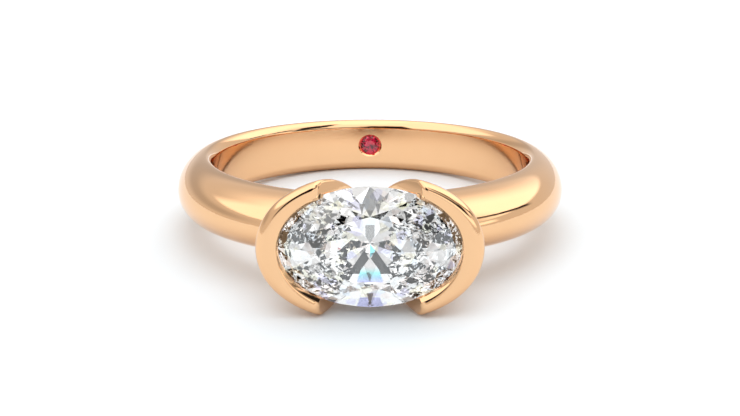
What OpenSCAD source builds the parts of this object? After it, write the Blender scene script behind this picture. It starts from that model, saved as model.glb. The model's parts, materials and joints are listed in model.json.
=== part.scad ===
// Oval engagement ring: a domed gold band with an east-west oval stone in a
// half bezel, and a small round red stone set flush inside the back of the band.
// The ring is drawn with its finger axis along Z and its head towards -Y.
// rest() then lays it on its side, on the back of the band and the two head tips.

/* [Band] */
// Radius of the finger hole
finger_r = 8.5; // [8.5:0.01:8.6]
// Metal thickness at the back of the band
back_t = 1.43; // [1.35:0.01:1.6]
// Metal thickness at the sides of the band
side_t = 1.77; // [1.6:0.01:1.9]
// Thickness that the shoulders rise towards under the head
front_t = 2.87; // [2.6:0.01:3]
// Half the band's width at the back
back_half_w = 1.54; // [1.5:0.01:1.6]
// Half the band's width at the sides
side_half_w = 1.59; // [1.5:0.01:1.65]
// Half the band's width under the head
front_half_w = 1.49; // [1.4:0.01:1.6]
// Depth of the rounded inner edge, from the hole to the widest point
edge_depth = 0.43; // [0.4:0.01:0.46]
// Part of the band's width that is flat inside the hole
flat_part = 0.73; // [0.7:0.01:0.76]

/* [Head] */
// Height of the bezel's rim above the finger axis
rim_h = 13.2; // [13.1:0.01:13.3]
// Half the bezel's length at the rim, across the finger
rim_half_l = 5.12; // [5.05:0.01:5.2]
// Half the bezel's width at the rim, along the finger
rim_half_w = 3.46; // [3.42:0.01:3.54]
// Fullness of the rim's outline: 2 is a plain oval, more is squarer
rim_fullness = 2.13; // [2:0.01:2.2]
// Depth of the rounded outer edge of the rim
rim_round = 0.36; // [0.3:0.01:0.42]
// How fast the bezel wall starts to draw in below its rim
wall_draft = 0.22; // [0.18:0.01:0.24]
// How much faster it draws in further down, towards the band
wall_curve = 0.112; // [0.1:0.002:0.116]
// Half the width of the open side at the rim
gap_half_w = 2.34; // [2.25:0.01:2.36]
// Slope of the open side's end faces from upright, in degrees
gap_angle = 30; // [28:0.5:32]
// Radius of the open side's round bottom
gap_bottom_r = 0.6; // [0.5:0.05:0.8]
// Width of the bright bevel between rim and stone, at the bezel's ends
bevel_end_w = 0.08; // [0.06:0.01:0.12]
// Width of that bevel along the stone's sides
bevel_side_w = 0.2; // [0.15:0.01:0.24]

/* [Oval stone] */
// Length of the oval stone
oval_l = 8.3; // [8.2:0.02:8.36]
// Width of the oval stone
oval_w = 5.6; // [5.5:0.02:5.64]
// Height of the stone's girdle above the finger axis
girdle_h = 12.64; // [12.6:0.01:12.68]
// Crown height as a part of the stone's width
oval_crown = 0.14; // [0.12:0.01:0.15]
// Pavilion depth as a part of the stone's width
oval_pavilion = 0.46; // [0.44:0.01:0.47]
// Table width as a part of the stone's width
oval_table = 0.58; // [0.54:0.01:0.62]

/* [Inner stone] */
// Diameter of the round stone inside the band
round_d = 1.16; // [1.1:0.02:1.2]
// Depth of its girdle below the wall of the finger hole
round_depth = 0.15; // [0.14:0.01:0.17]

/* [Fit] */
// Clearance between a stone and its seat
seat_gap = 0.03; // [0.02:0.01:0.04]
// Width of metal that holds down the edge of the oval stone
lip = 0.06; // [0.05:0.01:0.08]

/* [Hidden] */
gold = [0.93, 0.72, 0.52];
white = [0.93, 0.95, 0.98];
red = [0.72, 0.1, 0.22];

// Sections round the band, and points across its outside and each inner edge
band_steps = 96;
dome_steps = 15;
edge_steps = 5;
// Stock left inside the finger hole, which the bore then takes away
bore_stock = 0.12;
bore_len = 12;

// Points round every oval in the head, levels down its wall and over its rim
oval_steps = 72;
wall_steps = 9;
rim_steps = 4;
// The head's block is drawn down into the metal of the band
block_foot = finger_r + 0.25;
block_depth = rim_h - block_foot;
// The rim's crest, as a part of the way from its outline to the bevel's edge
crest = 0.5;
// How far the rim has dropped at the bevel's edge, and how far its slope runs on
bevel_drop = 0.05;
run_on = 1.15;
// Facets round the holes, the open side's round bottom, and cuts that pass through
bore_sides = 128;
seat_sides = 48;
gap_steps = 8;
overcut = 0.2;
gap_len = 10;
gap_over = 2;

// A stone's girdle has four points to each of its sixteen half facets
girdle_steps = 64;
half_facet = 22.5;
girdle_t = 0.09;
round_girdle_t = 0.03;
round_crown = 0.12;
round_pavilion = 0.43;
round_table = 0.56;
// Inner end of the lower half facets, as a part of the radius
lower_tip = 0.24;
// Depth of the ledge under the girdle, and thickness of the wall below it at
// the bezel's sides and ends, kept between two depths under the rim
ledge_t = 0.12;
side_wall = 0.48;
end_wall = 0.7;
hollow_top = 1.6;
hollow_foot = 2.6;
// Radius of the stone's seat at its point, and of the round stone's
culet_r = 0.25;
round_culet_r = 0.08;
// Spread of the round stone's bright bevel
round_bevel_w = 0.08;

// The lip stands on the crown's edge, just above the girdle
lip_h = girdle_h + girdle_t / 2 + seat_gap;
lip_t = 0.28;
lip_top = lip_h + lip_t;

// Lowest points of the ring on its side, from the finger axis, and its lean
tip_x = gap_half_w - rim_round * tan(gap_angle);
tip_y = rim_h - rim_round;
tip_z = rim_half_w * pow(1 - pow(tip_x / rim_half_l, rim_fullness), 1 / rim_fullness);
back_y = finger_r + edge_depth;
lean = atan2(tip_z - back_half_w, tip_y + back_y);
rest_h = back_y * sin(lean) + back_half_w * cos(lean);
// Middle of the leaning ring from front to back
front_reach = (girdle_h + oval_crown * oval_w) * cos(lean) + 0.5 * oval_table * oval_w * sin(lean);
back_reach = (finger_r + back_t) * cos(lean);
rest_y = (front_reach - back_reach) / 2;

// Lays the ring on its side, with the middle of its foot at the origin
module rest() {
    translate([0, rest_y, rest_h]) rotate([-lean, 0, 0]) children();
}

// A size that runs smoothly from the head, at angle 0, to the back, at 180
function around(a, front, side, back) =
    side + (front - back) / 2 * cos(a) + ((front + back) / 2 - side) * pow(cos(a), 2);

// The band's section: [distance outside the hole, height], as a closed loop
function band_section(a) =
    let (
        t = around(a, front_t, side_t, back_t),
        h = around(a, front_half_w, side_half_w, back_half_w),
        inner = edge_depth / sqrt(1 - flat_part * flat_part),
        last = acos((edge_depth + bore_stock) / inner)
    )
    concat(
        [for (i = [0 : dome_steps]) let (u = 90 - 180 * i / dome_steps)
            [edge_depth + (t - edge_depth) * cos(u), h * sin(u)]],
        [for (i = [1 : edge_steps]) let (u = 90 + (last - 90) * i / edge_steps)
            [edge_depth - inner * cos(u), -h * sin(u)]],
        [for (i = [edge_steps : -1 : 1]) let (u = 90 + (last - 90) * i / edge_steps)
            [edge_depth - inner * cos(u), h * sin(u)]]
    );

// Joins closed loops of equal length: a torus when closed, else with two caps
module skin(loops, closed = false) {
    n = len(loops[0]);
    m = len(loops);
    last = closed ? m - 1 : m - 2;
    sides = [for (k = [0 : last]) for (i = [0 : n - 1])
        let (j = (i + 1) % n, up = (k + 1) % m)
        each [[k * n + i, up * n + j, k * n + j], [k * n + i, up * n + i, up * n + j]]];
    caps = closed ? [] : [[for (i = [0 : n - 1]) i], [for (i = [n - 1 : -1 : 0]) (m - 1) * n + i]];
    polyhedron([for (l = loops) each l], concat(sides, caps), convexity = 10);
}

// The whole band, before the finger hole is bored
module band_blank() {
    skin([for (k = [0 : band_steps - 1]) let (a = 360 * (k + 0.5) / band_steps)
        [for (p = band_section(a))
            [(finger_r + p[0]) * sin(a), -(finger_r + p[0]) * cos(a), p[1]]]], closed = true);
}

// A cosine or sine drawn out towards the corners of a fuller oval
function full(c, n) = sign(c) * pow(abs(c), 2 / n);

// An oval loop at height h above the finger axis, plain or with a fuller outline
function oval(half_l, half_w, h, n = 2) =
    [for (i = [0 : oval_steps - 1]) let (a = 360 * (i + 0.5) / oval_steps)
        [half_l * full(cos(a), n), -h, half_w * full(sin(a), n)]];

// A loop of the bezel's outer wall, drawn in and down from the rim's outline
function wall_loop(inside, depth) =
    oval(rim_half_l - inside, rim_half_w - inside, rim_h - depth, rim_fullness);

// How far the bezel wall has drawn in at a depth below its rounded edge
function drawn_in(depth) = wall_draft * depth + wall_curve * depth * depth;

// A loop of the rim, a share of the way from its outline to the bevel's edge
function rim_loop(share, depth) =
    let (
        outline = wall_loop(0, depth),
        edge = oval(oval_l / 2 - lip + bevel_end_w, oval_w / 2 - lip + bevel_side_w, rim_h - depth)
    )
    [for (i = [0 : oval_steps - 1]) outline[i] + (edge[i] - outline[i]) * share];

// A loop of the hollow under the stone, one wall's thickness inside the bezel
function hollow_loop(depth) =
    let (inside = drawn_in(depth - rim_round))
    oval(rim_half_l - inside - end_wall, rim_half_w - inside - side_wall, rim_h - depth);

// The head's solid block: a bowl of oval levels under a rounded rim
module head_blank() {
    wall_h = block_depth - rim_round;
    skin(concat(
        [for (i = [wall_steps : -1 : 1]) let (d = wall_h * i / wall_steps)
            wall_loop(drawn_in(d), rim_round + d)],
        [for (i = [0 : rim_steps]) let (u = 90 * i / rim_steps)
            rim_loop(crest * (1 - cos(u)), rim_round * (1 - sin(u)))],
        [rim_loop(run_on, bevel_drop * (run_on - crest) / (1 - crest))]
    ));
}

// Space for the oval stone: a hollow, a ledge, the lip and the bevel above
module stone_seat() {
    half_l = oval_l / 2;
    half_w = oval_w / 2;
    seat_low = girdle_h - girdle_t / 2 - seat_gap;
    culet = girdle_h - oval_pavilion * oval_w - 2 * seat_gap;
    culet_l = culet_r * oval_l / oval_w;
    // The ledge follows the stone's pavilion a little way down
    share = ledge_t / (seat_low - culet);
    ledge_l = (half_l + seat_gap) * (1 - share) + culet_l * share;
    ledge_w = (half_w + seat_gap) * (1 - share) + culet_r * share;
    top = rim_h + overcut;
    run = (top - lip_top) / (rim_h - bevel_drop - lip_top);
    skin([
        oval(culet_l, culet_r, culet),
        hollow_loop(hollow_foot),
        hollow_loop(hollow_top),
        oval(ledge_l, ledge_w, seat_low - ledge_t),
        oval(half_l + seat_gap, half_w + seat_gap, seat_low),
        oval(half_l + seat_gap, half_w + seat_gap, lip_h - seat_gap),
        oval(half_l - lip, half_w - lip, lip_h),
        oval(half_l - lip, half_w - lip, lip_top),
        oval(half_l - lip + bevel_end_w * run, half_w - lip + bevel_side_w * run, top)
    ]);
}

// The open north and south sides: a V with a round bottom, cut along the finger
module side_gap() {
    bottom_y = rim_h - gap_half_w / tan(gap_angle) + gap_bottom_r / sin(gap_angle);
    top_half_w = gap_half_w + gap_over * tan(gap_angle);
    arc = [for (i = [0 : gap_steps]) let (u = (90 - gap_angle) * (2 * i / gap_steps - 1))
        [gap_bottom_r * sin(u), -bottom_y + gap_bottom_r * cos(u)]];
    top_y = -rim_h - gap_over;
    translate([0, 0, -gap_len / 2])
        linear_extrude(gap_len)
            polygon(concat([[-top_half_w, top_y]], arc, [[top_half_w, top_y]]));
}

// Space for the round stone: a cone under its girdle and a bright bevel over it
module round_seat() {
    girdle_y = finger_r + round_depth;
    r = round_d / 2 + seat_gap;
    bevel_h = round_depth + overcut;
    seat_depth = round_pavilion * round_d + 2 * seat_gap;
    rotate([-90, 0, 0]) {
        translate([0, 0, girdle_y])
            cylinder(h = seat_depth, r1 = r, r2 = round_culet_r, $fn = seat_sides);
        translate([0, 0, girdle_y - bevel_h])
            cylinder(h = bevel_h, r1 = r + round_bevel_w * bevel_h / round_depth, r2 = r, $fn = seat_sides);
    }
}

// Band and half bezel, soldered and polished as one piece of gold
module ring_body() {
    color(gold) rest() difference() {
        union() {
            band_blank();
            head_blank();
        }
        cylinder(h = bore_len, r = finger_r, center = true, $fn = bore_sides);
        side_gap();
        stone_seat();
        round_seat();
    }
}

// A brilliant-cut stone, table up. All facets are flat, so the girdle waves as
// a real one does. Stretching it to an oval keeps every facet flat.
module brilliant(l, w, crown, pavilion, table, thick) {
    top_z = thick / 2;
    star_r = (table * cos(half_facet) + 1) / 2;
    star_z = top_z + (crown - top_z) * (1 - star_r * cos(half_facet)) / (1 - table);
    lower_z = -top_z - (pavilion - top_z) * (1 - lower_tip * cos(half_facet));
    // Height of the flat half facet through a main corner, its tip and the
    // corner beyond, over a girdle point that lies a degrees from the tip
    upper_slope = (star_z - top_z) / (cos(half_facet / 2) - star_r * cos(half_facet / 2));
    lower_slope = (lower_z + top_z) / (cos(half_facet / 2) - lower_tip * cos(half_facet / 2));
    n = girdle_steps;
    per = n / 16;
    bulge = function (i) cos(half_facet * ((i % per) / per - 0.5)) - cos(half_facet / 2);
    place = function (r, a, z) [r * cos(a) * l / 2, r * sin(a) * w / 2, z];
    points = concat(
        [for (k = [0 : 7]) place(table, 45 * k, crown)],
        [for (k = [0 : 7]) place(star_r, 45 * k + half_facet, star_z)],
        [for (i = [0 : n - 1]) place(1, 360 * i / n, top_z - upper_slope * bulge(i))],
        [for (i = [0 : n - 1]) place(1, 360 * i / n, -top_z - lower_slope * bulge(i))],
        [for (k = [0 : 7]) place(lower_tip, 45 * k + half_facet, lower_z)],
        [place(0, 0, -pavilion)]
    );
    star = 8;
    high = 16;
    low = high + n;
    lower = low + n;
    culet = lower + 8;
    faces = concat(
        [[for (k = [7 : -1 : 0]) k]],
        [for (k = [0 : 7]) [k, (k + 1) % 8, star + k]],
        [for (k = [0 : 7]) [k, star + k, high + 2 * per * k, star + (k + 7) % 8]],
        [for (k = [0 : 15])
            concat([star + floor(k / 2)], [for (i = [per : -1 : 0]) high + (per * k + i) % n])],
        [for (i = [0 : n - 1]) [high + i, high + (i + 1) % n, low + (i + 1) % n, low + i]],
        [for (k = [0 : 15])
            concat([lower + floor(k / 2)], [for (i = [0 : per]) low + (per * k + i) % n])],
        [for (k = [0 : 7]) [culet, lower + (k + 7) % 8, low + 2 * per * k, lower + k]]
    );
    polyhedron(points, faces, convexity = 2);
}

// The main oval stone, its table facing out of the head
module oval_stone() {
    color(white) rest()
        translate([0, -girdle_h, 0]) rotate([90, 0, 0])
            brilliant(oval_l, oval_w, oval_crown * oval_w, oval_pavilion * oval_w, oval_table, girdle_t);
}

// The round red stone inside the back of the band, its table facing the finger
module inner_stone() {
    color(red) rest()
        translate([0, finger_r + round_depth, 0]) rotate([90, 0, 0])
            brilliant(round_d, round_d, round_crown * round_d, round_pavilion * round_d,
                round_table, round_girdle_t);
}

ring_body();
oval_stone();
inner_stone();
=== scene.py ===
# %% [markdown]
# # An oval engagement ring
# The ring is two things to a goldsmith: metal and stones. The metal is one piece of
# rose gold, a domed band whose shoulders rise into a half bezel. The half bezel is two
# C-shaped walls round the ends of an oval stone, so the stone's long sides stay open.
# A small red stone is set flush inside the back of the band.
# The solid model already fixes every size and place. This script builds the polished
# surfaces over it and never moves it.

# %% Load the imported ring
import json
import math

import bmesh
import bpy
from mathutils import Matrix, Vector


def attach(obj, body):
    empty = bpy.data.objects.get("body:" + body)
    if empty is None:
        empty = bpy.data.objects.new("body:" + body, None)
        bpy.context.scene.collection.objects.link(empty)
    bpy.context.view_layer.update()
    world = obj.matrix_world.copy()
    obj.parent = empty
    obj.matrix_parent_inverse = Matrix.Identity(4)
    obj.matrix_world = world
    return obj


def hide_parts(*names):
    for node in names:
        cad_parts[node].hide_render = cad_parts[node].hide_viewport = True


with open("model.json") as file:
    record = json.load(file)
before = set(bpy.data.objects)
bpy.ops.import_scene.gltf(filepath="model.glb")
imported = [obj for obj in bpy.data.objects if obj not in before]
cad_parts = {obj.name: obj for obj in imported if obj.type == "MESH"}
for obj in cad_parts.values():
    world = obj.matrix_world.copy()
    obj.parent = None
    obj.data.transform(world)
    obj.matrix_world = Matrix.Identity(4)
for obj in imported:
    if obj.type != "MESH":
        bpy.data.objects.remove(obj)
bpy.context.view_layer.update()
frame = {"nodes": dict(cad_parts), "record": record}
MM = 0.001
print("pieces in the frame:", sorted(frame["nodes"]))

# %% [markdown]
# ## The ring's own axes
# The ring lies on its side and leans a little, because the head is wider than the band.
# It is far easier to shape it upright in its own axes: Z along the finger, -Y towards
# the head, X across it. One matrix then lays the finished mesh down, and the object
# itself stays at the origin, unturned. The lean is read from the finger hole.

# %% Read the finger hole and its lean
bore = next(m for m in frame["record"]["mounts"] if m["name"] == "finger_bore")
finger_r = bore["dims"]["r_mm"] * MM
finger_axis = Vector(bore["axis"]).normalized()
lean = math.atan2(finger_axis.y, finger_axis.z)
lay_down = Matrix.Translation(bore["pos_m"]) @ Matrix.Rotation(-lean, 4, "X")
print(f"finger hole {2000 * finger_r:.1f} mm across, leaning {math.degrees(lean):.2f} degrees")


def finish_mesh(bm, name):
    """Puts a mesh shaped in the ring's axes where the ring lies, as an object of its own."""
    bmesh.ops.transform(bm, matrix=lay_down, verts=bm.verts)
    bmesh.ops.recalc_face_normals(bm, faces=bm.faces)
    mesh = bpy.data.meshes.new(name)
    bm.to_mesh(mesh)
    bm.free()
    made = bpy.data.objects.new(name, mesh)
    bpy.context.scene.collection.objects.link(made)
    print(f"{name}: {len(mesh.polygons)} faces")
    return made


# %% [markdown]
# ## The band
# A goldsmith draws D-shaped wire, bends it round a mandrel and files the shoulders up
# towards the head. Here a circle is spun round the finger into a plain hoop, and then
# every point is pressed to the real section for its place on the hoop: a tall dome
# outside, a flat wall inside with rounded edges, thin at the back and thick at the head.

# %% Thickness and half width round the band
back_t, side_t, front_t = 1.43 * MM, 1.77 * MM, 2.87 * MM
back_w, side_w, front_w = 1.54 * MM, 1.59 * MM, 1.49 * MM


def around(angle, front, side, back):
    """A size that runs smoothly from the head, at angle 0, round to the back."""
    c = math.cos(angle)
    return side + (front - back) / 2 * c + ((front + back) / 2 - side) * c * c


for degrees in (0, 45, 90, 180):
    turned = math.radians(degrees)
    print(f"{degrees} degrees from the head: {1000 * around(turned, front_t, side_t, back_t):.2f} mm "
          f"thick, {2000 * around(turned, front_w, side_w, back_w):.2f} mm wide")

# %% How a point is pressed to the band's section
# The plain hoop has this radius, and its wire a radius of 1
HOOP_R = 10.0
# The inner wall is flat over this share of its width and rounds off over this depth
flat_part, edge_depth = 0.73, 0.43 * MM
# Right under the head the band is a thinner bridge, and the shoulders rise beside it
bridge_t = 1.2 * MM
under_head, shoulder_rise = math.radians(12), math.radians(9)


def smooth(x):
    """Eases from 0 to 1 as x does."""
    x = min(max(x, 0.0), 1.0)
    return x * x * (3 - 2 * x)


def press_band(co):
    """Where a point of the plain hoop goes on the real band."""
    angle = math.atan2(co.x, -co.y)
    out = math.hypot(co.x, co.y) - HOOP_R
    t = around(angle, front_t, side_t, back_t)
    t -= (front_t - bridge_t) * (1 - smooth((abs(angle) - under_head) / shoulder_rise))
    half_w = around(angle, front_w, side_w, back_w)
    inner = edge_depth / math.sqrt(1 - flat_part ** 2)
    proud = edge_depth + (t - edge_depth if out > 0 else inner) * out
    r = finger_r + max(proud, 0.0)
    return Vector((r * math.sin(angle), -r * math.cos(angle), half_w * co.z))


crown_point = press_band(Vector((0, -HOOP_R - 1, 0)))
print(f"the bridge is {1000 * (-crown_point.y - finger_r):.2f} mm thick under the stone")

# %% Spin the hoop and press it
BAND_STEPS, BAND_POINTS = 288, 120
band = bmesh.new()
bmesh.ops.create_circle(band, segments=BAND_POINTS, radius=1.0)
stand = Matrix.Translation((0, -HOOP_R, 0)) @ Matrix.Rotation(math.pi / 2, 4, "Y")
bmesh.ops.transform(band, matrix=stand, verts=band.verts)
bmesh.ops.spin(band, geom=band.verts[:] + band.edges[:], cent=(0, 0, 0), axis=(0, 0, 1),
               angle=2 * math.pi, steps=BAND_STEPS, use_merge=True, use_duplicate=False)
for v in band.verts:
    v.co = press_band(v.co)
band_blank = finish_mesh(band, "band_blank")

# %% [markdown]
# ## The half bezel
# The head is a bowl with a rounded rim and a V sawn through its two long sides. A
# boolean cut would leave slivers along the saw line, which show as dents in polished
# gold. So the bowl's columns are spaced to end exactly on the saw line. One quarter is
# spun as a plain drum, each of its rows standing for one level of the bowl, and each
# point is then pressed to its level's oval. Mirroring makes one C of the quarter and,
# once its sawn face is filled, two Cs of the one. Last of all the sawn edges are softened.

# %% Sizes of the rim and of the stone
# Heights are taken from the middle of the finger hole. The rim's length and width are
# half ones and the stone's are whole. Fullness pushes the rim's corners out a little
rim_h, rim_l, rim_w = 13.2 * MM, 5.12 * MM, 3.46 * MM
rim_full = 0.021
foot_h = finger_r + 0.25 * MM
stone_l, stone_w = 8.3 * MM, 5.6 * MM
girdle_h, girdle_t = 12.64 * MM, 0.09 * MM
print(f"rim {2000 * rim_l:.1f} by {2000 * rim_w:.1f} mm, {1000 * (rim_h - foot_h):.1f} mm deep")

# %% The saw cut
# Its half width at the rim, the slope of its sides and the radius of its bottom
gap_half, gap_angle, gap_r = 2.34 * MM, math.radians(30), 0.6 * MM

# It runs straight down to gap_turn, then turns round its bottom at gap_end
gap_centre = gap_half / math.tan(gap_angle) - gap_r / math.sin(gap_angle)
gap_turn = gap_centre + gap_r * math.sin(gap_angle)
gap_end = gap_centre + gap_r


def saw_line(depth):
    """How far from the middle the saw cut lies at a depth below the rim."""
    if depth <= gap_turn:
        return gap_half - depth * math.tan(gap_angle)
    return math.sqrt(max(gap_r ** 2 - (depth - gap_centre) ** 2, 0.0))


print(f"the cut is {2000 * gap_half:.1f} mm wide at the rim and {1000 * gap_end:.1f} mm deep")

# %% [markdown]
# The bowl is a stack of levels, each an oval with a half length, a half width, a depth
# below the rim and a fullness. They are listed in the order in which a finger would
# trace them: up the outside from the foot, over the rounded rim, and down inside over
# the bevel and the lip to the seat of the stone and the hollow under it.

# %% List the levels of the outer wall
# The wall stands straight down to wall_start, then draws in faster and faster
wall_start, wall_draft, wall_curve = 0.36 * MM, 0.22, 0.112 / MM
rim_round = 0.52 * MM
FOOT_LEVELS, WALL_LEVELS = 10, 26
TURN_DEGREES = range(80, 30, -10)


def spread(start, end, count):
    """Even steps from start to end, both included."""
    return [start + (end - start) * i / count for i in range(count + 1)]


def drawn_in(depth):
    """How far the bezel's wall has drawn in at a depth below the rim."""
    d = max(depth - wall_start, 0)
    return wall_draft * d + wall_curve * d * d


def wall_level(depth):
    """The outer wall's level at a depth below the rim."""
    return rim_l - drawn_in(depth), rim_w - drawn_in(depth), depth, rim_full


# Beside the round bottom of the cut the levels follow it in even steps of angle
turn = [gap_centre + gap_r * math.sin(math.radians(a)) for a in TURN_DEGREES]
depths = spread(rim_h - foot_h, gap_end, FOOT_LEVELS) + turn + spread(gap_turn, rim_round, WALL_LEVELS)
levels = [wall_level(d) for d in depths]
print(len(levels), "levels up the outside")

# %% Add the rounded rim
# The lip holds the stone by its edge, and the crease is where the rim meets the bevel
seat_gap, lip = 0.03 * MM, 0.06 * MM
lip_l, lip_w = stone_l / 2 - lip, stone_w / 2 - lip
crease_l, crease_w = lip_l + 0.08 * MM, lip_w + 0.2 * MM
crease_drop = 0.05 * MM
# The rim is highest at this share of the way from its outline to the crease
CREST = 0.5
RIM_DEGREES = (9, 18, 27, 36, 45, 53, 61, 68, 74, 79, 83, 87, 90)
INNER_SHARES = (0.6, 0.7, 0.8, 0.9, 0.96)


def rim_level(share, depth):
    """A level of the rim, a share of the way from its outline to the crease."""
    half_l, half_w, _, _ = wall_level(depth)
    return (half_l + (crease_l - half_l) * share, half_w + (crease_w - half_w) * share,
            depth, rim_full * (1 - share))


for degrees in RIM_DEGREES:
    u = math.radians(degrees)
    levels.append(rim_level(CREST * (1 - math.cos(u)), rim_round * (1 - math.sin(u))))
for share in INNER_SHARES:
    levels.append(rim_level(share, crease_drop * ((share - CREST) / (1 - CREST)) ** 2))
print(len(levels), "levels to the inner side of the rim")

# %% Add the bevel and the lip
lip_t = 0.28 * MM
lip_depth = rim_h - (girdle_h + girdle_t / 2 + seat_gap)
# The edge between rim and bevel is rounded over this share of the bevel
CREASE_SHARE = 0.12


def between(one, other, share):
    """A level between two others."""
    return tuple(a + (b - a) * share for a, b in zip(one, other))


crease = (crease_l, crease_w, crease_drop, 0)
bevel_end = (lip_l, lip_w, lip_depth - lip_t, 0)
bevel_start = between(crease, bevel_end, CREASE_SHARE)
levels.append(between(between(levels[-1], bevel_start, 0.5), crease, 0.5))
crease_row = len(levels) - 1
levels += [bevel_start, bevel_end, (lip_l, lip_w, lip_depth, 0)]
print("the bevel starts at level", crease_row)

# %% Add the seat and the hollow under the stone
ledge_t, side_wall, end_wall = 0.12 * MM, 0.48 * MM, 0.7 * MM
# The hollow's wall bends at bend_depth and ends at foot_depth, where its floor begins
bend_depth, foot_depth = 1.6 * MM, 2.6 * MM
floor_w, floor_depth = 0.25 * MM, 2.97 * MM
HOLLOW_LEVELS, FLOOR_LEVELS = 3, 6


def hollow_level(depth):
    """A level of the hollow, one wall's thickness inside the bezel."""
    half_l, half_w, _, _ = wall_level(depth)
    return half_l - end_wall, half_w - side_wall, depth, 0


def steps(start, end, count, reach=1):
    """The levels after start on the way to end, as far as a share of the way."""
    return [between(start, end, reach * s / count) for s in range(1, count + 1)]


seat_top = (stone_l / 2 + seat_gap, stone_w / 2 + seat_gap, lip_depth + seat_gap, 0)
seat_edge = seat_top[:2] + (rim_h - (girdle_h - girdle_t / 2 - seat_gap), 0)
hollow_floor = (floor_w * stone_l / stone_w, floor_w, floor_depth, 0)
ledge = between(seat_edge, hollow_floor, ledge_t / (floor_depth - seat_edge[2]))
bend, foot = hollow_level(bend_depth), hollow_level(foot_depth)
levels += [seat_top, seat_edge, ledge]
levels += steps(ledge, bend, HOLLOW_LEVELS) + steps(bend, foot, HOLLOW_LEVELS)

# Its floor runs down to where it meets the saw cut
fall = (foot[0] - hollow_floor[0]) / (floor_depth - foot_depth)
floor_end = (foot[0] + fall * foot_depth - gap_half) / (fall - math.tan(gap_angle))
end_share = (floor_end - foot_depth) / (floor_depth - foot_depth)
levels += steps(foot, hollow_floor, FLOOR_LEVELS, end_share)
print(len(levels), "levels in all")

# %% [markdown]
# Each level's oval is followed from its end, on the stone's long axis, to the angle at
# which it meets the saw line. That angle has no formula, so it is found by putting the
# last answer in again, more often than it takes to stop changing.

# %% Find where each level meets the saw cut
TRIES = 40


def on_level(level, a):
    """The point of a level at angle a: how far along the stone, and how far across."""
    half_l, half_w, _, full = level
    out = 1 + full * math.sin(2 * a) ** 2
    return half_l * out * math.cos(a), half_w * out * math.sin(a)


def angle_at(level, x):
    """The angle at which a level crosses a line x from the middle."""
    a = math.pi / 4
    for _ in range(TRIES):
        out = 1 + level[3] * math.sin(2 * a) ** 2
        a = math.acos(min(x / (level[0] * out), 1.0))
    return a


last_angle = [angle_at(level, saw_line(level[2])) for level in levels]
print(f"the rim ends {math.degrees(last_angle[crease_row]):.1f} degrees round the oval")

# %% Spin the drum and press it to the levels
COLUMNS = 44
# The last column is wider, to leave room for the rounded sawn edge
LAST_STEP = 0.1
MERGE = 0.0005 * MM


def press_head(co):
    """Where a point of the drum goes on the bezel: its row is its level."""
    row = round(co.y)
    column = round(COLUMNS * math.atan2(co.z, co.x) / (math.pi / 2))
    share = 1 if column == COLUMNS else column * (1 - LAST_STEP) / (COLUMNS - 1)
    x, z = on_level(levels[row], last_angle[row] * share)
    return Vector((x, levels[row][2] - rim_h, z))


head = bmesh.new()
row_of = head.verts.layers.int.new("row")
bmesh.ops.create_vert(head, co=(1, 0, 0))
row_end = head.verts[:]
for _ in levels[1:]:
    row_end = bmesh.ops.extrude_vert_indiv(head, verts=row_end)["verts"]
    bmesh.ops.translate(head, vec=(0, 1, 0), verts=row_end)
bmesh.ops.spin(head, geom=head.verts[:] + head.edges[:], cent=(0, 0, 0), axis=(0, -1, 0),
               angle=math.pi / 2, steps=COLUMNS, use_merge=False, use_duplicate=False)
for v in head.verts:
    v[row_of] = round(v.co.y)
    v.co = press_head(v.co)
bmesh.ops.remove_doubles(head, verts=head.verts, dist=MERGE)
print("quarter bezel:", len(head.faces), "faces")

# %% [markdown]
# ## From a quarter to the whole bezel
# The bottom of the cut is drawn across to the middle, the quarter is mirrored, and the
# open outline of the cut is filled with one flat face. Then the other C is mirrored too.

# %% Find the edges along the cut
# Points closer than this are the same point
TOUCH = 1e-7


def everything(bm):
    """All that a mesh is made of, as the operators want it."""
    return bm.verts[:] + bm.edges[:] + bm.faces[:]


def depth_of(v):
    """How far a point of the head lies below the rim."""
    return v.co.y + rim_h


def on_saw(e):
    """True for an edge that lies along the saw cut."""
    return all(abs(abs(v.co.x) - saw_line(depth_of(v))) < TOUCH and depth_of(v) < gap_end + TOUCH
               for v in e.verts)


print(sum(map(on_saw, head.edges)), "edges lie along the cut")

# %% Close the cut and mirror the bezel
bottom = [e for e in head.edges if e.is_boundary and on_saw(e)
          and min(map(depth_of, e.verts)) > gap_turn - TOUCH]
for part in bmesh.ops.extrude_edge_only(head, edges=bottom)["geom"]:
    if isinstance(part, bmesh.types.BMVert):
        part.co.z = 0
bmesh.ops.mirror(head, geom=everything(head), axis="Z", merge_dist=TOUCH)
outline = [e for e in head.edges if e.is_boundary and on_saw(e)
           and max(map(depth_of, e.verts)) < gap_turn + TOUCH]
bmesh.ops.holes_fill(head, edges=outline, sides=0)
bmesh.ops.mirror(head, geom=everything(head), axis="X", merge_dist=TOUCH)
bmesh.ops.holes_fill(head, edges=[e for e in head.edges if e.is_boundary], sides=0)
bmesh.ops.recalc_face_normals(head, faces=head.faces)
print("open edges left in the bezel:", sum(e.is_boundary for e in head.edges))

# %% [markdown]
# The saw leaves its edges sharp, and the jeweller softens them before polishing. The
# edges of the cut are rounded up the outside and over the rim, as far as its crease.
# Further in, the walls are thin and the stone hides them, so those edges stay crisp.

# %% Round the sawn edges
SAWN_ROUND, SAWN_STEPS = 0.2 * MM, 8
sharp_from = math.radians(25)
sawn = [e for e in head.edges if on_saw(e) and len(e.link_faces) == 2
        and e.calc_face_angle(0.0) > sharp_from and all(v[row_of] <= crease_row for v in e.verts)]
bmesh.ops.bevel(head, geom=sawn, offset=SAWN_ROUND, offset_type="OFFSET", segments=SAWN_STEPS,
                profile=0.5, affect="EDGES", material=-1)
print(len(sawn), "sawn edges rounded")
head_blank = finish_mesh(head, "head_blank")

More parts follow.
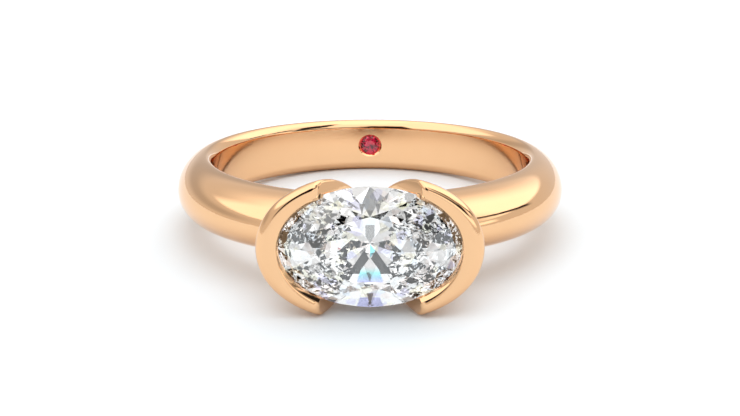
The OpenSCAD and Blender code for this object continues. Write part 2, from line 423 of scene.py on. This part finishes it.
# %% [markdown]
# ## Solder the head to the band
# On the bench the head is soldered onto the band and the joint is filed until none shows.
# A boolean union does the same here: it leaves one closed skin, with the parts of each
# piece that lie inside the other gone. Its result is kept as the mesh at once, so that
# the next tool has plain faces to work on.

# %% Join the head to the band
def bake(target):
    """Keeps what an object's modifiers make as its mesh."""
    graph = bpy.context.evaluated_depsgraph_get()
    made = bpy.data.meshes.new_from_object(target.evaluated_get(graph))
    target.modifiers.clear()
    target.data = made


def cut(target, tool, operation):
    """Joins a tool to a solid, or cuts it away, and keeps the result as the mesh."""
    step = target.modifiers.new(operation, "BOOLEAN")
    step.operation = operation
    step.solver = "EXACT"
    step.object = tool
    bake(target)
    bpy.data.objects.remove(tool)


cut(band_blank, head_blank, "UNION")
gold_ring = band_blank
gold_ring.name = "gold_ring"
print("soldered:", len(gold_ring.data.polygons), "faces")

# %% [markdown]
# ## The seat of the red stone
# A small round stone is set flush by drilling a hole from inside the band and cutting a
# bright bevel round its mouth. The drill is three cones set end to end, which overlap a
# little so that no thin skin is left between them: bevel, collar and point.

# %% Drill the seat
red_d, red_depth = 1.16 * MM, 0.15 * MM
bevel_depth, bevel_over = 0.08 * MM, 0.2 * MM
overlap = 0.005 * MM
point_length, point_r = 0.55 * MM, 0.08 * MM
hole_r = red_d / 2 + seat_gap


def back_cone(depth, length, start_r, end_r, name):
    """A cone bored outwards into the band's back from a depth below the finger hole."""
    bm = bmesh.new()
    bmesh.ops.create_cone(bm, cap_ends=True, segments=64, radius1=start_r, radius2=end_r, depth=length)
    outwards = Matrix.Rotation(-math.pi / 2, 4, "X")
    place = Matrix.Translation((0, finger_r + depth + length / 2, 0)) @ outwards
    bmesh.ops.transform(bm, matrix=place, verts=bm.verts)
    return finish_mesh(bm, name)


bevel_length = bevel_over + bevel_depth
bevel = back_cone(-bevel_over, bevel_length, hole_r + bevel_length, hole_r, "bevel")
collar = back_cone(bevel_depth - overlap, red_depth - bevel_depth + 2 * overlap, hole_r, hole_r,
                   "collar")
point = back_cone(red_depth, point_length, hole_r, point_r, "point")
for tool in (bevel, collar, point):
    cut(gold_ring, tool, "DIFFERENCE")
print(f"a hole {2000 * hole_r:.2f} mm wide for a stone {1000 * red_d:.2f} mm wide")

# %% [markdown]
# ## Hand the gold over
# Polished gold is smooth between its few true edges, so the faces are shaded smooth,
# and only where two meet at a steep angle does the edge stay sharp. Normals weighted by
# the size of the faces keep the small ones along a joint from denting the shine.

# %% Smooth the gold and let it stand for the ring's body
EDGE_DEGREES = 38
for p in gold_ring.data.polygons:
    p.use_smooth = True
gold_ring.data.set_sharp_from_angle(angle=math.radians(EDGE_DEGREES))
even = gold_ring.modifiers.new("even_normals", "WEIGHTED_NORMAL")
even.keep_sharp = True
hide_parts("ring_body")
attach(gold_ring, "root")
# Through the stone one sees the light behind it and not the gold, which keeps it white
gold_ring.visible_transmission = False
print("gold ring:", len(gold_ring.data.polygons), "faces")

# %% [markdown]
# ## The stones
# A cutter grinds a stone one flat at a time, each flat a plane at its own tilt and turn of
# the dial. The same is done here: a plain disc is sliced by one plane per facet. The main
# stone is cut as a round brilliant and then stretched to its oval, which keeps every
# facet flat. The small one is the same cut, left round.

# %% The cutter's tools
# Closer than this to a facet's plane, a corner counts as on it
ON_PLANE = 1e-5


def polar(r, degrees, z):
    """A point at a radius, an angle round the stone and a height."""
    a = math.radians(degrees)
    return Vector((r * math.cos(a), r * math.sin(a), z))


def grind(gem, a, b, c):
    """Grinds one flat facet: the plane through three points, away from the middle."""
    normal = (b - a).cross(c - a).normalized()
    if normal.dot(a) < 0:
        normal = -normal
    bmesh.ops.bisect_plane(gem, geom=everything(gem), dist=ON_PLANE,
                           plane_co=a, plane_no=normal, clear_outer=True)
    bmesh.ops.holes_fill(gem, edges=[e for e in gem.edges if e.is_boundary], sides=0)


# %% Cut a brilliant
# Radii of the table's corners, of the star facets' tips and of the lower halves' tips
table_r, star_r, lower_r = 0.58, 0.77, 0.3
# Eight kite facets go round, one every so many degrees, and a tip lies midway between two
FOLD = 8
APART = 360 / FOLD
GIRDLE_SIDES = 96


def brilliant(crown, deep, thin):
    """A round brilliant of radius 1, table up, its girdle 2 * thin thick."""
    half = math.cos(math.radians(APART / 2))
    star_z = thin + (crown - thin) * (1 - star_r * half) / (1 - table_r)
    lower_z = -deep + (deep - thin) * lower_r * half
    gem = bmesh.new()
    bmesh.ops.create_cone(gem, cap_ends=True, segments=GIRDLE_SIDES, radius1=1, radius2=1, depth=2)
    grind(gem, Vector((0, 0, crown)), Vector((1, 0, crown)), Vector((0, 1, crown)))
    for k in range(FOLD):
        main, tip = APART * k, APART * k + APART / 2
        corner, star = polar(table_r, main, crown), polar(star_r, tip, star_z)
        low = polar(lower_r, tip, lower_z)
        grind(gem, corner, polar(table_r, main + APART, crown), star)
        grind(gem, corner, polar(1, main, thin), polar(1, main, thin) + polar(1, main + 90, 0))
        grind(gem, Vector((0, 0, -deep)), low, polar(lower_r, tip - APART, lower_z))
        for side in (-1, 1):
            next_to = tip + APART / 2 * side
            grind(gem, star, polar(1, tip, thin), polar(1, next_to, thin))
            grind(gem, low, polar(1, tip, -thin), polar(1, next_to, -thin))
    print("cut stone:", len(gem.faces), "facets,", sum(e.is_boundary for e in gem.edges), "open edges")
    return gem


# %% Cut and set both stones
pavilion = 0.46 * stone_w
# Heights of the table, the point and half the girdle, in half widths of the stone
OVAL_CUT = (0.28, 2 * pavilion / stone_w, girdle_t / stone_w)
ROUND_CUT = (0.24, 0.86, 0.026)


def set_stone(gem, half_l, half_w, place, name, node):
    """Stretches a brilliant to its size, sets it in place and lets it stand for a node."""
    bmesh.ops.scale(gem, vec=(half_l, half_w, half_w), verts=gem.verts)
    seat = Matrix.Translation((0, place, 0)) @ Matrix.Rotation(math.pi / 2, 4, "X")
    bmesh.ops.transform(gem, matrix=seat, verts=gem.verts)
    stone = finish_mesh(gem, name)
    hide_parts(node)
    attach(stone, "root")
    return stone


oval = set_stone(brilliant(*OVAL_CUT), stone_l / 2, stone_w / 2, -girdle_h, "oval_cut", "oval_stone")
ruby = set_stone(brilliant(*ROUND_CUT), red_d / 2, red_d / 2, finger_r + red_depth,
                 "round_cut", "inner_stone")
print(f"the oval is {1000 * (OVAL_CUT[0] * stone_w / 2 + pavilion):.2f} mm deep")

# %% [markdown]
# ## Finishes
# Every finish is made of nodes that read the object's own coordinates in metres, so a
# scratch keeps its real size. What changes over the surface is worked out in a node
# group, and the shader itself stays in the material.

# %% Helpers that lay down nodes
def feed(tree, socket, value):
    """Sets a socket to a value, or links it where the value is another node's output."""
    if isinstance(value, bpy.types.NodeSocket):
        tree.links.new(value, socket)
    else:
        socket.default_value = value


def add(tree, kind, **values):
    """Adds a node and feeds its sockets by name, with _ for a space."""
    node = tree.nodes.new(kind)
    for name, value in values.items():
        feed(tree, node.inputs[name.replace("_", " ")], value)
    return node


def math_node(tree, operation, *values):
    """Adds a maths node fed by numbers or by other nodes' outputs, and returns its output."""
    node = tree.nodes.new("ShaderNodeMath")
    node.operation = operation
    for socket, value in zip(node.inputs, values):
        feed(tree, socket, value)
    return node.outputs[0]


def vector_node(tree, operation, *vectors, scale=None):
    """The same for vectors, one of which a scale may lengthen."""
    node = tree.nodes.new("ShaderNodeVectorMath")
    node.operation = operation
    for socket, value in zip(node.inputs, vectors):
        feed(tree, socket, value)
    if scale is not None:
        feed(tree, node.inputs["Scale"], scale)
    return node.outputs["Vector"]


def mix_colours(tree, factor, first, second, blend="MIX"):
    """Mixes two colours, each given as three numbers or as another node's output."""
    node = add(tree, "ShaderNodeMix", Factor=factor)
    node.data_type = "RGBA"
    node.blend_type = blend
    for label, colour in (("A", first), ("B", second)):
        linked = isinstance(colour, bpy.types.NodeSocket)
        feed(tree, node.inputs[label], colour if linked else (*colour, 1))
    return node.outputs["Result"]


# %% Helpers for a group of nodes
def new_group(name, **outputs):
    """Starts a node group whose outputs are given as names and kinds."""
    tree = bpy.data.node_groups.new(name, "ShaderNodeTree")
    for label, kind in outputs.items():
        tree.interface.new_socket(label.replace("_", " "), in_out="OUTPUT",
                                  socket_type="NodeSocket" + kind)
    return tree


def own_place(tree, stretch=(1, 1, 1)):
    """The place on the object in the ring's own axes, stretched along each of them."""
    place = tree.nodes.new("ShaderNodeTexCoord").outputs["Object"]
    shrink = [1 / s for s in stretch]
    node = add(tree, "ShaderNodeMapping", Vector=place, Location=bore["pos_m"],
               Rotation=(-lean, 0, 0), Scale=shrink)
    node.vector_type = "TEXTURE"
    return node.outputs["Vector"]


def place_mm(tree):
    """The same place as X, Y and Z in millimetres."""
    return add(tree, "ShaderNodeSeparateXYZ", Vector=own_place(tree, (1000, 1000, 1000))).outputs


def close_group(tree, **results):
    """Joins results to the group's outputs by name."""
    end = tree.nodes.new("NodeGroupOutput")
    for name, result in results.items():
        tree.links.new(result, end.inputs[name.replace("_", " ")])
    print(f"{tree.name}: {len(tree.nodes)} nodes")


# %% Helpers that make a material and put it on
# A bump of full height stands out by this much
BUMP_HEIGHT = 0.001 * MM


def principled(name, group, **values):
    """A material of one shader and one node group, whose outputs go to named sockets."""
    mat = bpy.data.materials.new(name)
    mat.use_nodes = True
    tree = mat.node_tree
    shader = tree.nodes["Principled BSDF"]
    for label, value in values.items():
        shader.inputs[label.replace("_", " ")].default_value = value
    effect = tree.nodes.new("ShaderNodeGroup")
    effect.node_tree = group
    for output in effect.outputs:
        if output.name == "Height":
            bump = add(tree, "ShaderNodeBump", Height=output, Distance=BUMP_HEIGHT, Strength=1.0)
            tree.links.new(bump.outputs["Normal"], shader.inputs["Normal"])
        elif output.name == "Domed":
            # Height comes before Domed in a group, so its bump is already there
            tree.links.new(output, bump.inputs["Normal"])
        else:
            tree.links.new(output, shader.inputs[output.name])
    return mat


def wear(obj, mat):
    """Puts one material on the whole of a piece."""
    obj.data.materials.clear()
    obj.data.materials.append(mat)
    print(f"{obj.name} wears {mat.name}")


# %% [markdown]
# ## Polished rose gold
# A mop leaves gold as bright as a mirror, yet never quite even. Fine lines run round the
# finger, the way the ring turned on the mop, and the shine is a little softer in patches.
# Two noise textures give both. The one for the lines is packed closer across the band.

# %% Uneven colour, shine and mop lines
# Waves of noise to the metre, so the patches are about 1.4 mm across
PATCH_WAVES, LINE_WAVES, PACKED = 700.0, 2500.0, 14
ROSE, PALE_ROSE = (0.85, 0.51, 0.275), (0.88, 0.535, 0.295)
SHINIEST, DULLEST = 0.025, 0.06
polish = new_group("mop_polish", Base_Color="Color", Roughness="Float", Height="Float", Domed="Vector")
patches = add(polish, "ShaderNodeTexNoise", Vector=own_place(polish), Scale=PATCH_WAVES, Detail=3.0)
lines = add(polish, "ShaderNodeTexNoise", Vector=own_place(polish, (1, 1, PACKED)),
            Scale=LINE_WAVES, Detail=4.0)
shade = mix_colours(polish, patches.outputs["Fac"], ROSE, PALE_ROSE)
rough = add(polish, "ShaderNodeMapRange", Value=patches.outputs["Fac"], From_Min=0.3, From_Max=0.7,
            To_Min=SHINIEST, To_Max=DULLEST)
print(len(polish.nodes), "nodes for patches and lines")

# %% [markdown]
# The mop also rounds the two sawn sides of the bezel across their width, which makes
# them catch the light. The solid model has them flat, so the rounding is done in the
# shading alone, by leaning their normals outwards. A sawn side is found as a face that
# looks inwards from within the cut, and its doming starts some way from the middle.

# %% Dome the sawn sides in their shading
# A face looks inwards below this share of its normal, and the cut reaches this far in mm
LOOKS_INWARD, CUT_REACH = -0.8, gap_half / MM + 0.06
# The normals lean by this much to the millimetre, less what they don't lean near the middle
DOME_RATE, DOME_START = 0.45, 0.85
where = place_mm(polish)
face = polish.nodes.new("ShaderNodeNewGeometry").outputs
faces_to = add(polish, "ShaderNodeSeparateXYZ", Vector=face["True Normal"]).outputs
inward = math_node(polish, "MULTIPLY", faces_to["X"], math_node(polish, "SIGN", where["X"]))
in_cut = math_node(polish, "LESS_THAN", math_node(polish, "ABSOLUTE", where["X"]), CUT_REACH)
sawn_side = math_node(polish, "MULTIPLY", math_node(polish, "LESS_THAN", inward, LOOKS_INWARD), in_cut)
outwards = math_node(polish, "MULTIPLY_ADD", math_node(polish, "ABSOLUTE", where["Z"]),
                     DOME_RATE, -DOME_START)
dome = math_node(polish, "MULTIPLY", math_node(polish, "MAXIMUM", outwards, 0),
                 math_node(polish, "SIGN", where["Z"]))
lift = add(polish, "ShaderNodeCombineXYZ", Z=math_node(polish, "MULTIPLY", sawn_side, dome))
domed = vector_node(polish, "ADD", face["Normal"], lift.outputs["Vector"])
domed = vector_node(polish, "NORMALIZE", domed)
close_group(polish, Base_Color=shade, Roughness=rough.outputs["Result"],
            Height=lines.outputs["Fac"], Domed=domed)

# %% Put the gold on
wear(gold_ring, principled("rose_gold", polish, Metallic=1.0))

# %% [markdown]
# ## Fire in the stones
# White light that crosses a stone leaves it split into colours. Most of it shows as small
# flecks of pale blue, lavender and yellow, so each small cell of the stone gets one of
# those tints painted into its colour as painted fire, and the cells of its back tilt a
# little, which breaks the light up finely.

# %% Painted fire in small cells
# Cells to the metre, so each is about 0.4 mm across
CELLS = 2600.0
# The tints below are painted fire, the colours of split light laid into the stone's colour
PLAIN = (1, 0.985, 0.96)
PAINTED_FIRE_TINTS = [(0.0, (0.78, 0.88, 1.0)), (0.07, PLAIN), (0.34, (1, 0.96, 0.72)), (0.48, PLAIN),
         (0.68, (0.68, 0.66, 0.95)), (0.78, PLAIN), (0.92, (1, 0.86, 0.8))]


def ramp_node(tree, factor, stops, interpolation):
    """Turns a number into a colour by stops, each a place and a colour."""
    node = add(tree, "ShaderNodeValToRGB", Fac=factor)
    ramp = node.color_ramp
    ramp.interpolation = interpolation
    ramp.elements.remove(ramp.elements[-1])
    for i, (at, colour) in enumerate(stops):
        stop = ramp.elements[0] if i == 0 else ramp.elements.new(at)
        stop.position = at
        stop.color = (*colour, 1)
    return node.outputs["Color"]


fire = new_group("fire", Base_Color="Color", Normal="Vector")
cells = add(fire, "ShaderNodeTexVoronoi", Vector=own_place(fire), Scale=CELLS)
pick = add(fire, "ShaderNodeSeparateColor", Color=cells.outputs["Color"])
painted_light = ramp_node(fire, pick.outputs["Red"], PAINTED_FIRE_TINTS, "CONSTANT")
print(len(PAINTED_FIRE_TINTS), "steps of tint in the cells")

# %% Tilt the cells of the stone's back
TILT = 0.06
# A face belongs to the back where its normal points this far towards the finger
BACK_FACING = 0.2
face = fire.nodes.new("ShaderNodeNewGeometry").outputs
faces_to = add(fire, "ShaderNodeSeparateXYZ", Vector=face["True Normal"]).outputs
behind = math_node(fire, "GREATER_THAN", faces_to["Y"], BACK_FACING)
tilted = vector_node(fire, "SUBTRACT", cells.outputs["Color"], (0.5, 0.5, 0.5))
tilted = vector_node(fire, "SCALE", tilted, scale=math_node(fire, "MULTIPLY", behind, TILT))
tilted = vector_node(fire, "ADD", tilted, face["Normal"])
tilted = vector_node(fire, "NORMALIZE", tilted)
print(f"the cells tilt by up to {math.degrees(math.atan(TILT / 2)):.1f} degrees each way")

# %% [markdown]
# Down the middle of the stone one broad flash is painted, white at its tip and turning cyan
# and lavender, between two painted dark blades, a painted reflection of the dark behind
# the camera. Smaller painted dark and coloured patches lie above it, below it and at its
# sides: painted reflections of the dark studio, painted fire and painted highlights. Each
# patch is bounded by straight lines, like the facets that make such patches in a real
# stone, and lies on the stone's front alone. A line is three numbers, which say on which
# side of it a place lies.

# %% How a patch is bounded
spot = place_mm(fire)
aside = math_node(fire, "ABSOLUTE", spot["X"])
down = math_node(fire, "MULTIPLY", spot["Z"], -1)
in_front = math_node(fire, "LESS_THAN", spot["Y"], -girdle_h / MM)
on_right = math_node(fire, "MULTIPLY", in_front, math_node(fire, "GREATER_THAN", spot["X"], 0))


def patch(inside, lines):
    """Keeps of a mask what has a * aside + b * down + c above 0 for every line (a, b, c)."""
    for a, b, c in lines:
        side = math_node(fire, "MULTIPLY_ADD", aside, a, math_node(fire, "MULTIPLY_ADD", down, b, c))
        inside = math_node(fire, "MULTIPLY", inside, math_node(fire, "GREATER_THAN", side, 0))
    return inside


print(f"patches lie more than {girdle_h / MM:.2f} mm from the finger's middle")

# %% Painted flash and painted dark blades on the stone's middle
# Along the painted flash its colour goes through these stops, from its tip downwards
FLASH = [(0.0, (1, 1, 1)), (0.38, (1, 1, 1)), (0.62, (0.14, 1.0, 1.0)),
         (0.8, (0.2, 0.56, 1.0)), (1.0, (0.36, 0.34, 0.95))]
FLASH_RATE, FLASH_TIP = 0.87, 0.19
flash_colour = ramp_node(fire, math_node(fire, "MULTIPLY_ADD", down, FLASH_RATE, -FLASH_TIP),
                         FLASH, "LINEAR")
# Colours of the painted patches: the blacks and the grey are painted reflections of the dark studio,
# and teal, lavender and yellow are painted fire and painted highlights
BLACK, GREY, CLAW_BLACK = (0.004, 0.0036, 0.0033), (0.16, 0.15, 0.14), (0.02, 0.02, 0.02)
TEAL, LAVENDER = (0.05, 0.5, 0.68), (0.24, 0.24, 0.55)
BROWN_BLACK, YELLOW = (0.02, 0.012, 0.01), (1, 1, 0.6)

# Name, where it may lie, colour, and the lines round the painted patch in millimetres
PAINTED_PATCHES = [
    ("blades", in_front, BLACK, [(1, 0.57, -0.196), (-1, 0.68, 0.324), (0, -1, 0.98)]),
    ("dark tips", in_front, BLACK, [(0, -1, -0.99), (1, 0.52, -0.285), (-1, 0.957, 2.087)]),
    ("grey kite", in_front, GREY, [(-1, 0, 0.2), (0, 1, 1.27), (-1, -0.6, -0.25)]),
    ("claws", in_front, CLAW_BLACK, [(0, 1, 2.15), (1, -0.25, -0.778), (-1, -0.28, -0.122)]),
    ("flash", in_front, flash_colour, [(-1, 0.707, -0.156), (-1, 0.316, 0.157), (0, -1, 1.37)]),
    ("fleck", on_right, TEAL, [(-1, 0.8, 0.32), (-1, -0.7, 0.168)]),
    ("low flash", in_front, LAVENDER, [(-1, 0.29, -0.2), (0, 1, -2.2)]),
    ("low blade", in_front, BROWN_BLACK, [(-1, -0.18, 0.5), (0, 1, -1.95)]),
    ("gleams", in_front, YELLOW, [(-3.03, -5, -5.05), (3.03, -5, -13.65),
                                  (-3.03, 5, 15.65), (3.03, 5, 7.05)]),
]
for name, where, colour, lines in PAINTED_PATCHES:
    painted_light = mix_colours(fire, patch(where, lines), painted_light, colour)
    print(f"{name} painted, with {len(lines)} sides")
close_group(fire, Base_Color=painted_light, Normal=tilted)

# %% [markdown]
# ## The stones' own materials
# A cut stone is clear, so its colour comes from what light does inside it. Both stones
# transmit all their light, and bend it as diamond and as ruby do. On the white stone the
# painted fire and painted reflections are laid on where the eye looks in, and not once
# more where the light comes in, because the same flash would then show again in other
# places. The red stone's colour is multiplied into its painted tints.

# %% Put the white stone on
WHITE_IOR, WHITE = 2.42, (1, 1, 1)
POLISHED = 0.0


def under_mix(mat, factor, colour, blend="MIX"):
    """Mixes a colour into the one that a material's group gives its shader."""
    shown = mat.node_tree.nodes["Principled BSDF"].inputs["Base Color"]
    mixed = mix_colours(mat.node_tree, factor, shown.links[0].from_socket, colour, blend)
    mat.node_tree.links.new(mixed, shown)


white = principled("white_stone", fire, Transmission_Weight=1.0, IOR=WHITE_IOR, Roughness=POLISHED)
within = white.node_tree.nodes.new("ShaderNodeNewGeometry")
under_mix(white, within.outputs["Backfacing"], WHITE)
wear(oval, white)

# %% Put the red stone on
RED_IOR, DEEP_RED = 1.77, (0.6, 0.012, 0.05)
red = principled("red_stone", fire, Transmission_Weight=1.0, IOR=RED_IOR, Roughness=POLISHED)
under_mix(red, 1.0, DEEP_RED, "MULTIPLY")
wear(ruby, red)

# %% [markdown]
# ## The floor
# The ring lies on a sheet of pale card, so wide that its edge never shows. From here its
# fibres only shift its tone and its dullness a little, and one flat face carries them.
# It belongs to the stage and not to the ring.

# %% Lay the floor
FLOOR_HALF = 2.0
floor_bm = bmesh.new()
bmesh.ops.create_grid(floor_bm, x_segments=1, y_segments=1, size=FLOOR_HALF)
floor_mesh = bpy.data.meshes.new("floor")
floor_bm.to_mesh(floor_mesh)
floor_bm.free()
floor = bpy.data.objects.new("floor", floor_mesh)
bpy.context.scene.collection.objects.link(floor)
print(f"a floor {2 * FLOOR_HALF:.0f} m wide")

# %% Pale card
# Waves of noise to the metre
FIBRE_WAVES = 4000.0
CARD, PALE_CARD = (0.855, 0.905, 0.94), (0.87, 0.92, 0.955)
CARD_ROUGH, ROUGH_SPREAD = 0.55, 0.1
card = new_group("card", Base_Color="Color", Roughness="Float", Height="Float")
fibres = add(card, "ShaderNodeTexNoise", Vector=own_place(card), Scale=FIBRE_WAVES, Detail=5.0)
shade = mix_colours(card, fibres.outputs["Fac"], CARD, PALE_CARD)
rough = math_node(card, "MULTIPLY_ADD", fibres.outputs["Fac"], ROUGH_SPREAD, CARD_ROUGH)
close_group(card, Base_Color=shade, Roughness=rough, Height=fibres.outputs["Fac"])
wear(floor, principled("floor", card, Specular_IOR_Level=0.1))

# %% [markdown]
# ## The studio
# Polished gold shows little colour of its own: it shows what stands round it. A jeweller's
# light tent is white all round, brighter overhead, with a softbox to each side and a few
# dark gaps towards the front that draw thin dark lines along its edges. The tent is the
# world's background: a few soft panels laid over a gradient. Each panel has a
# bearing, counted from behind the ring towards the right, and a height above the floor,
# both in degrees.

# %% Start the light tent
world = bpy.data.worlds.new("studio")
bpy.context.scene.world = world
world.use_nodes = True
tent = world.node_tree
tent.nodes.clear()
TO_DEGREES = 180 / math.pi
looked_at = tent.nodes.new("ShaderNodeTexCoord").outputs["Generated"]
split = add(tent, "ShaderNodeSeparateXYZ", Vector=looked_at).outputs
bearing = math_node(tent, "MULTIPLY", math_node(tent, "ARCTAN2", split["X"], split["Y"]), TO_DEGREES)
height = math_node(tent, "MULTIPLY", math_node(tent, "ARCSINE", split["Z"]), TO_DEGREES)
print("tent started, with", len(tent.nodes), "nodes for bearing and height")

# %% Light the tent all round, and more overhead
ALL_ROUND, OVERHEAD = 1.02, 1.4
OVERHEAD_FROM, OVERHEAD_FULL = 30, 70


def soft_step(value, start, end):
    """Rises smoothly from 0 to 1 as a value goes from start to end."""
    node = add(tent, "ShaderNodeMapRange", Value=value, From_Min=start, From_Max=end)
    node.interpolation_type = "SMOOTHSTEP"
    return node.outputs["Result"]


above = math_node(tent, "MULTIPLY", soft_step(height, OVERHEAD_FROM, OVERHEAD_FULL), OVERHEAD)
light = math_node(tent, "ADD", ALL_ROUND, above)
print(f"light {ALL_ROUND} all round and {ALL_ROUND + OVERHEAD:.2f} overhead")

# %% Hang the panels
def panel(light, centre, half_width, low, high, soft_x, soft_y, slope, brightness):
    """Lays a soft-edged panel of light, or of darkness, over the tent."""
    turned = math_node(tent, "WRAP", math_node(tent, "SUBTRACT", bearing, centre), 180, -180)
    aside = math_node(tent, "ABSOLUTE", turned)
    beside = soft_step(aside, half_width - soft_x, half_width + soft_x)
    level = math_node(tent, "SUBTRACT", height, math_node(tent, "MULTIPLY", turned, slope))
    up = soft_step(level, low - soft_y, low + soft_y)
    over = soft_step(level, high - soft_y, high + soft_y)
    upright = math_node(tent, "MULTIPLY", up, math_node(tent, "SUBTRACT", 1, over))
    mask = math_node(tent, "MULTIPLY", math_node(tent, "SUBTRACT", 1, beside), upright)
    change = math_node(tent, "SUBTRACT", brightness, light)
    return math_node(tent, "ADD", light, math_node(tent, "MULTIPLY", mask, change))


# Columns: bearing, half width, lowest, highest, softness across and up, slope, brightness
PANELS = [
    (-45, 55, 8, 21, 20, 5, 0, 0.72),
    (-104, 46, 29, 75, 10, 2, 0, 2.1),
    (66, 36, 21, 75, 22, 2, 0, 2.35),
    (88, 19, 23.5, 30, 3, 1.5, 0.5, 0.05),
    (-168, 22, 6, 48, 3, 2, 0, 0.02),
    (144, 30, 18, 31, 3, 2, 0, 0.03),
    (128, 26, 7, 16, 4, 2, 0, 2.0),
    (162, 14, 6, 16, 3, 2, 0, 2.2),
    (158, 20, 43, 49, 4, 1.5, 0, 2.1),
    (125, 14, 38, 57, 3, 2, 0.72, 0.03),
]
for row in PANELS:
    light = panel(light, *row)
sky = add(tent, "ShaderNodeBackground", Strength=light)
out = tent.nodes.new("ShaderNodeOutputWorld")
tent.links.new(sky.outputs["Background"], out.inputs["Surface"])
print(len(PANELS), "panels in the tent")

# %% [markdown]
# ## Camera
# The camera looks at the finger hole's centre from the photograph's angle. Its distance
# was chosen. Its rise above the ring's own level and its focal length in pixels were then
# fitted to the photograph's outlines, and a shift puts that centre on its row there.

# %% Set the camera
CAMERA_D = 65 * MM
CAMERA_RISE = math.radians(14.013)
FOCAL_PX, SHOT_W, SHOT_H = 1182.9, 740, 416
AXIS_ROW = 178.73
SENSOR_W = 36
cam_data = bpy.data.cameras.new("camera")
cam_data.sensor_width = SENSOR_W
cam_data.lens = FOCAL_PX / SHOT_W * SENSOR_W
cam_data.shift_y = (AXIS_ROW - SHOT_H / 2) / SHOT_W
cam_data.clip_start = MM
camera = bpy.data.objects.new("camera", cam_data)
bpy.context.scene.collection.objects.link(camera)
rise = CAMERA_RISE + lean
aim = Vector(bore["pos_m"])
camera.location = aim + CAMERA_D * Vector((0, -math.cos(rise), math.sin(rise)))
camera.rotation_euler = (aim - camera.location).to_track_quat("-Z", "Y").to_euler()
bpy.context.scene.camera = camera
print(f"camera {1000 * CAMERA_D:.0f} mm away, a lens of {cam_data.lens:.1f} mm")

# %% [markdown]
# Light bounces many times inside a cut stone, so more bounces than usual are followed.
# The plain Standard view leaves the whites of the studio as bright as they are.

# %% Set the view and the bounces
STONE_BOUNCES, GOLD_BOUNCES = 24, 8
bpy.context.scene.view_settings.view_transform = "Standard"
cycles = bpy.context.scene.cycles
cycles.max_bounces = STONE_BOUNCES
cycles.transmission_bounces = STONE_BOUNCES
cycles.glossy_bounces = GOLD_BOUNCES
print(cycles.max_bounces, "bounces, of which", cycles.glossy_bounces, "off gold")
